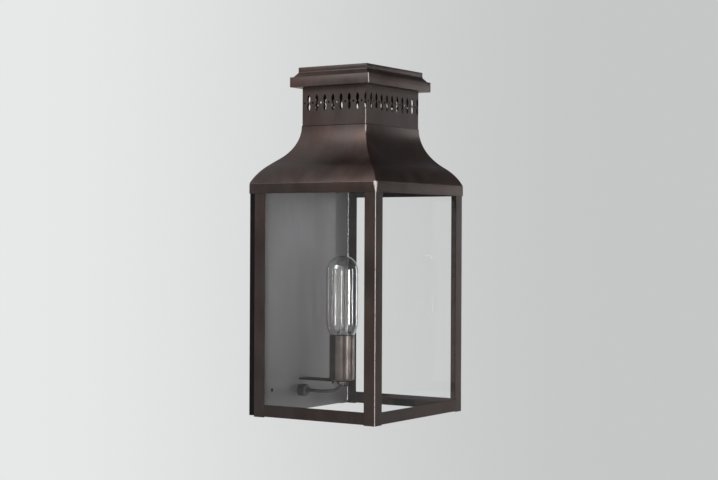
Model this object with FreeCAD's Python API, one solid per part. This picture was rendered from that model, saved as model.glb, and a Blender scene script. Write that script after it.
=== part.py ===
"""Outdoor wall lantern: a glazed box of soldered brass strip under an ogee roof.

Frame: +X to the right as you face the wall, +Y into the wall, +Z up.
The wall plane is y = 0.  Heights are written from the bottom edge of the corner
posts; save() then lowers everything so that the origin is the centre of the four
wall fixings, on the wall plane.
"""
import FreeCAD, Part
import math
import os

Vec = FreeCAD.Vector

# ---- driving dimensions, millimetres -------------------------------------------
WIDTH = 224.0            # across the outside of the posts
FRONT = -202.0           # outside of the front posts
BACK = -9.0              # rear of the back posts, 9 mm off the wall
SHEET = 1.0              # brass sheet
POST_TOP = 313.5         # just under the foot of the roof
POST_LEG = 17.0
RAIL_HIGH = 17.0
EAVES_LOW = 300.0        # lower edge of the eaves band
EAVES_TOP = 314.0
ROOF_TOP = 392.0
NECK_X = 67.0            # half width of the pierced gallery
NECK_Y = 51.0            # half depth of the pierced gallery
NECK_MID = -106.0        # centre of the gallery, in y
SOFFIT = 444.0           # underside of the cap
CAP_OVER = 12.5          # how far the cap stands out past the gallery
CROWN_OVER = 4.2
CAP_SHOULDER = 457.5
CROWN_LOW = 465.0
CROWN_TOP = 471.0
LAMP_Y = -76.0           # axis of the bulb and its holder
ARM_TOP = 45.0           # upper face of the bracket arm
FIX_X = 73.8             # wall fixings, half spacing across
FIX_LOW = 32.6           # lower fixings above the bottom edge
ORIGIN_UP = 150.0        # centre of the fixings above the bottom edge
GLASS = 3.0
GLAND = (-7.0, 28.4)     # x and height of the cable gland

HALF = WIDTH / 2
FIX_HIGH = 2 * ORIGIN_UP - FIX_LOW
PLATE_BACK = BACK - SHEET            # rear face of the back plate
PLATE_FRONT = PLATE_BACK - SHEET     # the face that is seen inside the lantern

os.makedirs("parts", exist_ok=True)


# ---- helpers -------------------------------------------------------------------
def save(name, shape):
    """Lower the shape to the mount's frame and write it as one STEP file."""
    moved = shape.copy()
    moved.translate(Vec(0, 0, -ORIGIN_UP))
    assert moved.isValid(), name
    moved.exportStep("parts/%s.step" % name)
    print("%-24s %2d solid(s) %10.1f mm3" % (name, len(moved.Solids), moved.Volume))


def box(x0, x1, y0, y1, z0, z1):
    """A box between two corners, given low and high along each axis."""
    return Part.makeBox(x1 - x0, y1 - y0, z1 - z0, Vec(x0, y0, z0))


def rod(radius, start, end):
    """A round bar from one point to another."""
    a, b = Vec(*start), Vec(*end)
    return Part.makeCylinder(radius, (b - a).Length, a, b - a)


def tube(outer, inner, start, end):
    """A round tube from one point to another."""
    return rod(outer, start, end).cut(rod(inner, start, end))


def mirror_x(shape):
    """The same piece on the other side of the lantern."""
    return shape.mirror(Vec(0, 0, 0), Vec(1, 0, 0))


def prism(points, direction):
    """A straight-sided solid from a closed outline and an extrusion vector."""
    corners = [Vec(*p) for p in points]
    face = Part.Face(Part.makePolygon(corners + corners[:1]))
    return face.extrude(Vec(*direction))


def hexagon(across_flats, centre, axis, height):
    """A hexagonal bar: centre of one end, 'y' or 'z' axis, signed height."""
    radius = across_flats / math.sqrt(3)
    ring = [(radius * math.cos(math.radians(60 * k)), radius * math.sin(math.radians(60 * k)))
            for k in range(6)]
    cx, cy, cz = centre
    if axis == "z":
        return prism([(cx + a, cy + b, cz) for a, b in ring], (0, 0, height))
    return prism([(cx + a, cy, cz + b) for a, b in ring], (0, height, 0))


def turned(outline, axis_y=LAMP_Y):
    """A turned piece: a closed (radius, height) outline about the lamp's axis.

    A third value in a point is the bulge of the edge that leaves it, which is the
    distance an arc stands off its chord, positive to the left of the direction.
    """
    edges = []
    count = len(outline)
    for k, point in enumerate(outline):
        after = outline[(k + 1) % count]
        a, b = Vec(point[0], axis_y, point[1]), Vec(after[0], axis_y, after[1])
        if len(point) == 2:
            edges.append(Part.LineSegment(a, b).toShape())
            continue
        chord = b - a
        left = Vec(-chord.z, 0, chord.x).normalize()
        middle = (a + b) * 0.5 + left * point[2]
        edges.append(Part.Arc(a, middle, b).toShape())
    face = Part.Face(Part.Wire(edges))
    return face.revolve(Vec(0, axis_y, 0), Vec(0, 0, 1), 360)


# ---- wall tray: the black folded tray that the lantern stands off the wall on ----
TRAY_IN = 1.5            # the tray is this much narrower than the body, each side
TRAY_SHEET = 1.5
TRAY_LOW = 1.5
TRAY_TOP = EAVES_LOW
FIX_HOLE = 2.75
ENTRY_HOLE = 10.0

tray_half = HALF - TRAY_IN
tray = box(-tray_half, tray_half, BACK, 0, TRAY_LOW, TRAY_TOP)
tray = tray.cut(box(-tray_half + TRAY_SHEET, tray_half - TRAY_SHEET, BACK, -TRAY_SHEET,
                    TRAY_LOW + TRAY_SHEET, TRAY_TOP - TRAY_SHEET))
fixings = [(x, z) for x in (-FIX_X, FIX_X) for z in (FIX_LOW, FIX_HIGH)]
for x, z in fixings:
    tray = tray.cut(rod(FIX_HOLE, (x, -2 * TRAY_SHEET, z), (x, 1, z)))
tray = tray.cut(rod(ENTRY_HOLE, (GLAND[0], -2 * TRAY_SHEET, GLAND[1]), (GLAND[0], 1, GLAND[1])))
save("wall_tray", tray)

# the two low screws also hold the body: each passes through the back plate and a sleeve
SLEEVE_R = 5.0
low_fixings = [(x, z) for x, z in fixings if z == FIX_LOW]
sleeves = [tube(SLEEVE_R, FIX_HOLE, (x, -TRAY_SHEET, z), (x, PLATE_BACK, z)) for x, z in low_fixings]
save("distance_sleeves", Part.makeCompound(sleeves))

# the head of the body hangs on the tray by an angle soldered behind the back plate
CLEAT_HALF = 60.0
CLEAT_TALL = 14.0
CLEAT_REACH = 7.0
cleat = box(-CLEAT_HALF, CLEAT_HALF, PLATE_BACK, BACK, TRAY_TOP - CLEAT_TALL, TRAY_TOP + SHEET)
cleat = cleat.fuse(box(-CLEAT_HALF, CLEAT_HALF, PLATE_BACK, BACK + CLEAT_REACH,
                       TRAY_TOP, TRAY_TOP + SHEET))
save("hanging_cleat", cleat.removeSplitter())

# ---- back plate ------------------------------------------------------------------
GLAND_THREAD_R = 6.0
ARM_WIDE = 22.0
ARM_THICK = 2.0
ARM_SLACK = 0.05         # the arm's slot in the back plate is this much larger all round

back_plate = box(-HALF + SHEET, HALF - SHEET, PLATE_FRONT, PLATE_BACK, 1, POST_TOP)
for r, x, z in [(FIX_HOLE, *low) for low in low_fixings] + [(GLAND_THREAD_R, *GLAND)]:
    back_plate = back_plate.cut(rod(r, (x, PLATE_FRONT - 1, z), (x, BACK, z)))
arm_half = ARM_WIDE / 2
back_plate = back_plate.cut(box(-arm_half - ARM_SLACK, arm_half + ARM_SLACK, PLATE_FRONT - 1, BACK,
                                ARM_TOP - ARM_THICK - ARM_SLACK, ARM_TOP + ARM_SLACK))
save("back_plate", back_plate)

# ---- posts: folded angle at each corner ---------------------------------------------
front_left = box(-HALF, -HALF + POST_LEG, FRONT, FRONT + SHEET, 0, POST_TOP)
front_left = front_left.fuse(box(-HALF, -HALF + SHEET, FRONT, FRONT + POST_LEG, 0, POST_TOP))
front_left = front_left.removeSplitter()
fold = [e for e in front_left.Edges
        if abs(e.CenterOfMass.x + HALF) < 0.01 and abs(e.CenterOfMass.y - FRONT) < 0.01]
front_left = front_left.makeFillet(0.7, fold)
save("front_post_left", front_left)
save("front_post_right", mirror_x(front_left))

# the back posts lap behind the plate's edge
BACK_LEG = 16.0
back_left = box(-HALF, -HALF + SHEET, PLATE_BACK - BACK_LEG, BACK, 0, POST_TOP)
back_left = back_left.fuse(box(-HALF, -HALF + BACK_LEG, PLATE_BACK, BACK, 0, POST_TOP))
back_left = back_left.removeSplitter()
save("back_post_left", back_left)
save("back_post_right", mirror_x(back_left))

# ---- rails: flat strip let in between the posts -----------------------------------------
RAIL_LOW = 1.0
inner_x = HALF - POST_LEG
inner_front = FRONT + POST_LEG
inner_back = PLATE_BACK - BACK_LEG
for level, z0, z1 in (("bottom", RAIL_LOW, RAIL_HIGH), ("top", EAVES_LOW, POST_TOP)):
    save("%s_rail_front" % level, box(-inner_x, inner_x, FRONT, FRONT + SHEET, z0, z1))
    side_rail = box(-HALF, -HALF + SHEET, inner_front, inner_back, z0, z1)
    save("%s_rail_left" % level, side_rail)
    save("%s_rail_right" % level, mirror_x(side_rail))

# ---- glazing ------------------------------------------------------------------------------
PANE_LOW = 11.5
PANE_TOP = 312.0
PANE_GAP = 0.2
pane_out = HALF - SHEET - PANE_GAP           # outer face of a side pane
pane_in = pane_out - GLASS
front_pane_out = FRONT + SHEET + PANE_GAP
front_pane_in = front_pane_out + GLASS
save("glass_front", box(-pane_in + PANE_GAP, pane_in - PANE_GAP, front_pane_out, front_pane_in,
                        PANE_LOW, PANE_TOP))
side_pane = box(-pane_out, -pane_in, front_pane_out, PLATE_FRONT - 3.0, PANE_LOW, PANE_TOP)
save("glass_left", side_pane)
save("glass_right", mirror_x(side_pane))

# folded tabs, soldered inside the bottom rails, that the panes stand on
REST_WIDE = 12.0
REST_DEEP = 4.0
REST_TALL = 8.0
rests = []
for x in (-60.0, 60.0):
    leaf = box(x - REST_WIDE / 2, x + REST_WIDE / 2, FRONT + SHEET, FRONT + SHEET + 0.8,
               PANE_LOW - REST_TALL, PANE_LOW)
    ledge = box(x - REST_WIDE / 2, x + REST_WIDE / 2, FRONT + SHEET, FRONT + SHEET + REST_DEEP,
                PANE_LOW - 0.8, PANE_LOW)
    rests.append(leaf.fuse(ledge).removeSplitter())
for y in (-160.0, -50.0):
    leaf = box(-HALF + SHEET, -HALF + SHEET + 0.8, y - REST_WIDE / 2, y + REST_WIDE / 2,
               PANE_LOW - REST_TALL, PANE_LOW)
    ledge = box(-HALF + SHEET, -HALF + SHEET + REST_DEEP, y - REST_WIDE / 2, y + REST_WIDE / 2,
                PANE_LOW - 0.8, PANE_LOW)
    rest = leaf.fuse(ledge).removeSplitter()
    rests += [rest, mirror_x(rest)]
save("glass_rests", Part.makeCompound(rests))

# black rubber pads wedge the panes into the corners: low down, and at the front high up too
PAD = 5.5
PAD_TALL = 17.0
PAD_LEVELS = (24.7, 283.0)


def pad(corner_x, corner_y, step_y, low):
    """A quarter-round wedge of rubber in an inside corner at the lantern's left."""
    round_part = rod(PAD, (corner_x, corner_y, low), (corner_x, corner_y, low + PAD_TALL))
    y0, y1 = sorted((corner_y, corner_y + step_y * PAD))
    return round_part.common(box(corner_x, corner_x + PAD, y0, y1, low, low + PAD_TALL))


front_pads = [pad(-pane_in, front_pane_in, 1, low) for low in PAD_LEVELS]
rear_pads = [pad(-pane_in, PLATE_FRONT, -1, PAD_LEVELS[0])]
save("front_glass_pads", Part.makeCompound(front_pads + [mirror_x(p) for p in front_pads]))
save("rear_glass_pads", Part.makeCompound(rear_pads + [mirror_x(p) for p in rear_pads]))

# the run of solder down each inside corner of the back plate
SEAM = 2.0
seam = prism([(-HALF + SHEET, PLATE_FRONT, 3), (-HALF + SHEET + SEAM, PLATE_FRONT, 3),
              (-HALF + SHEET, PLATE_FRONT - SEAM, 3)], (0, 0, PANE_TOP - 3))
save("solder_seams", Part.makeCompound([seam, mirror_x(seam)]))

# blank rating label inside the right-hand bottom rail
LABEL = 0.3
save("rating_label", box(HALF - SHEET - LABEL, HALF - SHEET, -126.5, -91.0, 1.8, 10.4))

# ---- eaves band: one strip folded round the head of the body, back to the wall --------------
eaves_x = HALF + SHEET
eaves_front = FRONT - SHEET
band = box(-eaves_x, eaves_x, eaves_front, 0, EAVES_LOW, EAVES_TOP)
band = band.cut(box(-HALF, HALF, FRONT, -SHEET, EAVES_LOW - 1, EAVES_TOP + 1))
save("eaves_band", band)

# ---- roof: four ogee panels -------------------------------------------------------------------
OGEE_FOOT = 68.0         # slope of the roof where it leaves the eaves, degrees
OGEE_CROSS = 37.7        # slope where the swell turns into the sweep
ROOF_SHEET = 1.0
neck_x = NECK_X + ROOF_SHEET
neck_front = NECK_MID - NECK_Y - ROOF_SHEET
neck_back = NECK_MID + NECK_Y + ROOF_SHEET


class Ogee:
    """Two tangent arcs from the eaves to the neck: a swell, then an upright sweep."""

    def __init__(self, run, rise, foot, cross):
        self.foot = math.radians(foot)
        self.cross = math.radians(cross)
        sf, cf = math.sin(self.foot), math.cos(self.foot)
        sc, cc = math.sin(self.cross), math.cos(self.cross)
        # run  = r1 (sf - sc) + r2 (1 - sc)
        # rise = r1 (cc - cf) + r2 cc
        whole = (sf - sc) * cc - (1 - sc) * (cc - cf)
        self.swell = (run * cc - (1 - sc) * rise) / whole
        self.sweep = ((sf - sc) * rise - (cc - cf) * run) / whole
        self.c1 = (self.swell * sf, -self.swell * cf)
        join = (self.c1[0] - self.swell * sc, self.c1[1] + self.swell * cc)
        self.c2 = (join[0] - self.sweep * sc, join[1] + self.sweep * cc)

    def point(self, angle, arc, inward):
        """A point where the slope is angle, on the swell (1) or sweep (2)."""
        s, c = math.sin(angle), math.cos(angle)
        if arc == 1:
            radius = self.swell - inward
            return (self.c1[0] - radius * s, self.c1[1] + radius * c)
        radius = self.sweep + inward
        return (self.c2[0] + radius * s, self.c2[1] - radius * c)

    def arcs(self, inward, place):
        """Both arcs as edges; place turns (inward distance, height) into a point."""
        top = math.pi / 2
        mid1 = (self.foot + self.cross) / 2
        mid2 = (self.cross + top) / 2
        one = [place(*self.point(a, 1, inward)) for a in (self.foot, mid1, self.cross)]
        two = [place(*self.point(a, 2, inward)) for a in (self.cross, mid2, top)]
        return [Part.Arc(*one).toShape(), Part.Arc(*two).toShape()]


def under_curves(low_curve, high_curve, inward, low_place, high_place, sweep):
    """The solid under two facing ogees, closed across the foot and the neck."""
    rising = low_curve.arcs(inward, low_place)
    other = high_curve.arcs(inward, high_place)
    foot_low, neck_low = rising[0].Vertexes[0].Point, rising[1].Vertexes[-1].Point
    foot_high, neck_high = other[0].Vertexes[0].Point, other[1].Vertexes[-1].Point
    edges = rising + [Part.LineSegment(neck_low, neck_high).toShape()]
    edges += other[::-1] + [Part.LineSegment(foot_high, foot_low).toShape()]
    face = Part.Face(Part.Wire(Part.__sortEdges__(edges)))
    return face.extrude(sweep)


def roof_solids(inward):
    """The two solids whose overlap is the roof: one seen from the front, one from the side."""
    rise = ROOF_TOP - EAVES_TOP
    side_run = eaves_x - neck_x
    rear_run = -neck_back
    stretch = rear_run / side_run
    side = Ogee(side_run, rise, OGEE_FOOT, OGEE_CROSS)
    rear = Ogee(rear_run, rise,
                math.degrees(math.atan(math.tan(math.radians(OGEE_FOOT)) / stretch)),
                math.degrees(math.atan(math.tan(math.radians(OGEE_CROSS)) / stretch)))
    deep = -eaves_front + 20
    across = under_curves(
        side, side, inward,
        lambda u, h: Vec(-eaves_x + u, 10, EAVES_TOP + h),
        lambda u, h: Vec(eaves_x - u, 10, EAVES_TOP + h), Vec(0, -deep, 0))
    wide = 2 * eaves_x + 20
    along = under_curves(
        side, rear, inward,
        lambda u, h: Vec(-wide / 2, eaves_front + u, EAVES_TOP + h),
        lambda u, h: Vec(-wide / 2, -u, EAVES_TOP + h), Vec(wide, 0, 0))
    return across, along


outer_across, outer_along = roof_solids(0)
inner_across, inner_along = roof_solids(ROOF_SHEET)
above_eaves = box(-200, 200, -300, 50, EAVES_TOP, ROOF_TOP)
sides = outer_across.cut(inner_across).common(outer_along).common(above_eaves)
ends = outer_along.cut(inner_along).common(inner_across).common(above_eaves)
for name, whole, keep in (("left", sides, (-200, 0, -300, 50)), ("right", sides, (0, 200, -300, 50)),
                          ("front", ends, (-200, 200, -300, NECK_MID)),
                          ("back", ends, (-200, 200, NECK_MID, 50))):
    panel = whole.common(box(*keep, EAVES_TOP - 1, ROOF_TOP + 1))
    save("roof_%s" % name, panel)

# ---- gallery: four pierced plates -----------------------------------------------------------
GALLERY_LOW = 385.0
GALLERY_TOP = SOFFIT + SHEET
SLOT_MID = 422.7
SLOT_TALL = 22.8
SLOT_BULGE = 2.5         # half width of each lozenge
SLOT_WAIST = 0.8
DOT_R = 1.4
SLOTS_ROUND = 36         # slots in the whole circuit, starting on the front left corner

half_tall = SLOT_TALL / 2
circuit = 4 * (NECK_X + NECK_Y)
pitch = circuit / SLOTS_ROUND


def slot(place, through):
    """A double lozenge; place turns (along, up) into a point on the plate."""
    def arc(a, b, c):
        return Part.Arc(place(*a), place(*b), place(*c)).toShape()
    tip, bulge, waist = half_tall, (SLOT_BULGE, half_tall / 2), SLOT_WAIST
    edges = [arc((0, tip), bulge, (waist, 0)),
             arc((waist, 0), (bulge[0], -bulge[1]), (0, -tip)),
             arc((0, -tip), (-bulge[0], -bulge[1]), (-waist, 0)),
             arc((-waist, 0), (-bulge[0], bulge[1]), (0, tip))]
    return Part.Face(Part.Wire(edges)).extrude(through)


def pierced(plate, start, length, place_on, through):
    """Cut the slots and dots of the circuit that fall on one plate."""
    cutters = []
    for k in range(-1, SLOTS_ROUND + 2):
        along = k * pitch - start
        if -SLOT_BULGE < along < length + SLOT_BULGE:
            cutters.append(slot(lambda a, h, s=along: place_on(s + a, SLOT_MID + h), through))
        dot = along + pitch / 2
        if DOT_R + 1 < dot < length - DOT_R - 1:
            centre = place_on(dot, SLOT_MID)
            cutters.append(Part.makeCylinder(DOT_R, through.Length, centre, through))
    return plate.cut(cutters)


gallery_front = NECK_MID - NECK_Y
gallery_back = NECK_MID + NECK_Y
wide, deep = 2 * NECK_X, 2 * NECK_Y
reach = 4.0              # how far the piercing tool passes through each plate
plates = {
    "front": (box(-NECK_X, NECK_X, gallery_front, gallery_front + SHEET,
                  GALLERY_LOW, GALLERY_TOP), 0, wide,
              lambda s, z: Vec(-NECK_X + s, gallery_front - 2, z), Vec(0, reach, 0)),
    "right": (box(NECK_X - SHEET, NECK_X, gallery_front + SHEET, gallery_back - SHEET,
                  GALLERY_LOW, GALLERY_TOP), wide, deep,
              lambda s, z: Vec(NECK_X + 2, gallery_front + s, z), Vec(-reach, 0, 0)),
    "back": (box(-NECK_X, NECK_X, gallery_back - SHEET, gallery_back,
                 GALLERY_LOW, GALLERY_TOP), wide + deep, wide,
             lambda s, z: Vec(NECK_X - s, gallery_back + 2, z), Vec(0, -reach, 0)),
    "left": (box(-NECK_X, -NECK_X + SHEET, gallery_front + SHEET, gallery_back - SHEET,
                 GALLERY_LOW, GALLERY_TOP), 2 * wide + deep, deep,
             lambda s, z: Vec(-NECK_X - 2, gallery_back - s, z), Vec(reach, 0, 0)),
}
for name, (plate, start, length, place_on, through) in plates.items():
    save("gallery_%s" % name, pierced(plate, start, length, place_on, through))

# ---- cap: soffit, band, cove and crown ----------------------------------------------------------
CAP_LEDGE = 2.0          # flat left on the shoulder outside the cove


def around_neck(out, z0, z1):
    """A box that stands out past the gallery by the same amount on all four sides."""
    return box(-NECK_X - out, NECK_X + out, NECK_MID - NECK_Y - out, NECK_MID + NECK_Y + out, z0, z1)


soffit = around_neck(CAP_OVER - SHEET, SOFFIT, SOFFIT + SHEET)
save("cap_soffit", soffit.cut(around_neck(0, SOFFIT - 1, SOFFIT + 2)))

cap_band = around_neck(CAP_OVER, SOFFIT, CAP_SHOULDER)
low_edges = [e for e in cap_band.Edges if abs(e.BoundBox.ZMax - SOFFIT) < 0.01]
cap_band = cap_band.makeFillet(0.8, low_edges)
cap_band = cap_band.cut(around_neck(CAP_OVER - SHEET, SOFFIT - 1, CAP_SHOULDER - SHEET))
cap_band = cap_band.cut(around_neck(CROWN_OVER - SHEET - 1, SOFFIT, CAP_SHOULDER + 1))
save("cap_band", cap_band)


def cove_solid(inward):
    """A four-sided moulding whose sides are concave arcs, mitred by intersection."""
    run = CAP_OVER - CAP_LEDGE - CROWN_OVER
    rise = CROWN_LOW - CAP_SHOULDER
    result = None
    for half, axis in ((NECK_X, "x"), (NECK_Y, "y")):
        foot, head = half + CAP_OVER - CAP_LEDGE - inward, half + CROWN_OVER - inward

        def at(s, z, axis=axis):
            if axis == "x":
                return Vec(s, NECK_MID - 100, z)
            return Vec(-100, NECK_MID + s, z)
        sag = 0.22
        mid = (head + run * (0.5 - sag), CAP_SHOULDER + rise * (0.5 - sag))
        right = Part.Arc(at(foot, CAP_SHOULDER), at(*mid), at(head, CROWN_LOW)).toShape()
        left = Part.Arc(at(-foot, CAP_SHOULDER), at(-mid[0], mid[1]), at(-head, CROWN_LOW)).toShape()
        top = Part.LineSegment(at(-head, CROWN_LOW), at(head, CROWN_LOW)).toShape()
        low = Part.LineSegment(at(-foot, CAP_SHOULDER), at(foot, CAP_SHOULDER)).toShape()
        face = Part.Face(Part.Wire(Part.__sortEdges__([right, top, left, low])))
        solid = face.extrude(Vec(0, 200, 0) if axis == "x" else Vec(200, 0, 0))
        result = solid if result is None else result.common(solid)
    return result


save("cap_cove", cove_solid(0).cut(cove_solid(SHEET)))

crown = around_neck(CROWN_OVER, CROWN_LOW, CROWN_TOP)
crown = crown.cut(around_neck(CROWN_OVER - SHEET, CROWN_LOW - 1, CROWN_TOP - SHEET))
save("cap_crown", crown)

# ---- bracket: a flat arm that carries the lampholder ---------------------------------------------
# it passes through the back plate and turns up behind it, where it is soldered
FOOT_TALL = 17.0
NIPPLE_R = 5.0
NIPPLE_BORE = 4.1
NIPPLE_LOW = 38.5
NIPPLE_TOP = 51.0

arm_low = ARM_TOP - ARM_THICK
foot_back = PLATE_BACK + ARM_THICK
bracket = box(-arm_half, arm_half, LAMP_Y, foot_back, arm_low, ARM_TOP)
bracket = bracket.fuse(rod(arm_half, (0, LAMP_Y, arm_low), (0, LAMP_Y, ARM_TOP)))
bracket = bracket.fuse(box(-arm_half, arm_half, PLATE_BACK, foot_back, arm_low, ARM_TOP + FOOT_TALL))
bracket = bracket.removeSplitter().cut(rod(NIPPLE_R, (0, LAMP_Y, 0), (0, LAMP_Y, 100)))
save("lamp_bracket", bracket)

save("lamp_nipple", tube(NIPPLE_R, NIPPLE_BORE, (0, LAMP_Y, NIPPLE_LOW), (0, LAMP_Y, NIPPLE_TOP)))
nut = hexagon(12.0, (0, LAMP_Y, arm_low), "z", -3.0)
save("nipple_nut", nut.cut(rod(NIPPLE_R, (0, LAMP_Y, 0), (0, LAMP_Y, 100))))

# earth terminal behind the back plate: a brass stud with a ring tag under its nut
EARTH = (30.0, 54.0)     # x and height of the stud
STUD_R = 2.0
STUD_TALL = 7.0
TAG_R = 4.0
TAG_SHEET = 0.8
EARTH_NUT_TALL = 3.2
ex, ez = EARTH
tag_back = PLATE_BACK + TAG_SHEET
stud_bore = rod(STUD_R, (ex, PLATE_BACK, ez), (ex, 0, ez))
save("earth_stud", rod(STUD_R, (ex, PLATE_BACK, ez), (ex, PLATE_BACK + STUD_TALL, ez)))
tag = rod(TAG_R, (ex, PLATE_BACK, ez), (ex, tag_back, ez))
tag = tag.fuse(box(ex, ex + 3 * TAG_R, PLATE_BACK, tag_back, ez - STUD_R, ez + STUD_R))
save("earth_tag", tag.removeSplitter().cut(stud_bore))
save("earth_nut", hexagon(7.0, (ex, tag_back, ez), "y", EARTH_NUT_TALL).cut(stud_bore))

# ---- lampholder ----------------------------------------------------------------------------------
CUP_R = 17.4
CUP_WALL = 0.8
CUP_TOP = 106.6
cup = turned([(NIPPLE_R, ARM_TOP), (CUP_R - 1.5, ARM_TOP, -0.44), (CUP_R, ARM_TOP + 1.5),
              (CUP_R, CUP_TOP), (CUP_R - CUP_WALL, CUP_TOP), (CUP_R - CUP_WALL, ARM_TOP + CUP_WALL + 1),
              (CUP_R - CUP_WALL - 1, ARM_TOP + CUP_WALL), (NIPPLE_R, ARM_TOP + CUP_WALL)])
save("lampholder_cup", cup)

INSERT_R = 16.3
SHELL_OUT = 13.9
SHELL_IN = 13.5
SHELL_LOW = 74.0
SHELL_TOP = 101.0
INSERT_LOW = 56.0
insert = turned([(0, INSERT_LOW), (INSERT_R, INSERT_LOW), (INSERT_R, SHELL_TOP + 2),
                 (SHELL_OUT + 0.6, SHELL_TOP + 2), (SHELL_OUT, SHELL_TOP),
                 (SHELL_OUT, SHELL_LOW), (0, SHELL_LOW)])
terminals = [(-9.0, LAMP_Y), (9.0, LAMP_Y)]
TERMINAL_R = 2.0
for x, y in terminals:
    insert = insert.cut(rod(TERMINAL_R, (x, y, INSERT_LOW - 1), (x, y, INSERT_LOW + 7)))
save("lampholder_insert", insert)

shell = turned([(SHELL_IN, SHELL_LOW), (SHELL_OUT, SHELL_LOW), (SHELL_OUT, SHELL_TOP),
                (SHELL_IN, SHELL_TOP)])
save("screw_shell", shell)

# sprung centre contact: a strip bowed up from the floor of the insert
CONTACT_TALL = 5.0
bow = turned([(0, SHELL_LOW), (5, SHELL_LOW), (5, SHELL_LOW + 0.5), (2, SHELL_LOW + CONTACT_TALL),
              (0, SHELL_LOW + CONTACT_TALL)])
save("centre_contact", bow)

terminal_screws = [rod(TERMINAL_R, (x, y, INSERT_LOW - 4), (x, y, INSERT_LOW + 7)) for x, y in terminals]
save("terminal_screws", Part.makeCompound(terminal_screws))

# ---- bulb ----------------------------------------------------------------------------------------
BULB_R = 22.5
BULB_TOP = 217.2
GLASS_SKIN = 0.7
CAP_R = 13.0
CAP_LOW = 85.0
CAP_TOP = 108.6
RIM = (17.6, 108.0)      # radius and height of the glass just above the holder's rim
SHOULDER = 124.6         # where the bulb reaches its full width

dome_low = BULB_TOP - BULB_R
cos45 = math.cos(math.radians(45))


def bulb_wall(skin):
    """The bulb's outline from the cap up to the tip, set in by skin."""
    r = BULB_R - skin
    return [(CAP_R + 0.6 - skin, CAP_TOP - 6), (CAP_R + 0.6 - skin, CAP_TOP - 5.2),
            (RIM[0] - skin, RIM[1]), (r, SHOULDER), (r, dome_low), (0, dome_low + r)]


def bulb_edges(skin):
    """Edges of that outline: a straight neck, a flare, a taper, a tube and a round dome."""
    p = [Vec(a, LAMP_Y, b) for a, b in bulb_wall(skin)]
    r = BULB_R - skin
    flare_mid = (p[1] + p[2]) * 0.5 + Vec(-0.3, 0, 0.2)
    taper_mid = (p[2] + p[3]) * 0.5 + Vec(1.2, 0, -0.35)
    dome_mid = Vec(r * cos45, LAMP_Y, dome_low + r * cos45)
    return [Part.LineSegment(p[0], p[1]).toShape(), Part.Arc(p[1], flare_mid, p[2]).toShape(),
            Part.Arc(p[2], taper_mid, p[3]).toShape(), Part.LineSegment(p[3], p[4]).toShape(),
            Part.Arc(p[4], dome_mid, p[5]).toShape()]


# the skirt of the envelope sits over the cap's rim, so the cap is a little smaller
outside, inside = bulb_edges(0), bulb_edges(GLASS_SKIN)
skin_low = Part.LineSegment(outside[0].Vertexes[0].Point, inside[0].Vertexes[0].Point).toShape()
skin_top = Part.LineSegment(outside[-1].Vertexes[-1].Point, inside[-1].Vertexes[-1].Point).toShape()
skin_face = Part.Face(Part.Wire(Part.__sortEdges__(outside + inside + [skin_low, skin_top])))
save("bulb_glass", skin_face.revolve(Vec(0, LAMP_Y, 0), Vec(0, 0, 1), 360))

CAP_WALL = 0.4
bulb_cap = turned([(CAP_R - CAP_WALL, CAP_TOP - 6.4), (CAP_R - CAP_WALL, CAP_LOW + 1), (9, CAP_LOW),
                   (9, CAP_LOW - CAP_WALL), (CAP_R, CAP_LOW - CAP_WALL + 1), (CAP_R, CAP_TOP - 6.4)])
save("bulb_cap", bulb_cap)
save("bulb_insulator", turned([(0, CAP_LOW - 4), (4.5, CAP_LOW - 4), (8.8, CAP_LOW - 0.6),
                               (8.8, CAP_LOW), (0, CAP_LOW)]))
save("bulb_contact", turned([(0, CAP_LOW - 5.6, -0.3), (4.2, CAP_LOW - 4.6), (4.2, CAP_LOW - 4),
                             (0, CAP_LOW - 4)]))

STEM_PRESS = 126.0
STEM_TOP = 196.0
stem = turned([(0, CAP_TOP - 4), (10.5, CAP_TOP - 4), (10.5, CAP_TOP - 3), (6, CAP_TOP + 2),
               (4, CAP_TOP + 8), (3.2, STEM_PRESS), (1.3, STEM_PRESS + 3), (1.3, STEM_TOP), (0, STEM_TOP)])
save("bulb_stem", stem)

# squirrel-cage filament: one wire up and down between two rings of hooks
FILAMENT_R = 0.3
RUNS = 12
CAGE_LOW, CAGE_HIGH = 130.0, 192.0
CAGE_FOOT, CAGE_HEAD = 15.5, 11.0


def cage_point(k):
    """The k-th bend of the filament, counted round the cage."""
    up = k % 2
    radius = CAGE_HEAD if up else CAGE_FOOT
    turn = math.radians(360.0 * k / (RUNS + 1) + 20)
    return (radius * math.cos(turn), LAMP_Y + radius * math.sin(turn), CAGE_HIGH if up else CAGE_LOW)


bends = [cage_point(k) for k in range(RUNS + 1)]
filament = rod(FILAMENT_R, bends[0], bends[1])
for a, b in zip(bends[1:], bends[2:]):
    filament = filament.fuse([Part.makeSphere(FILAMENT_R, Vec(*a)), rod(FILAMENT_R, a, b)])
save("filament", filament.removeSplitter())

HOOK_R = 0.25
hooks = []
for bend in bends[1:-1]:
    level = bend[2] + (0.9 if bend[2] > 160 else -0.9)
    flat = Vec(bend[0], bend[1] - LAMP_Y, 0)
    out = flat * ((flat.Length - 0.2) / flat.Length)
    start = flat * (1.3 / flat.Length)
    hooks.append(rod(HOOK_R, (start.x, LAMP_Y + start.y, level), (out.x, LAMP_Y + out.y, level)))
save("filament_hooks", Part.makeCompound(hooks))

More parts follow.
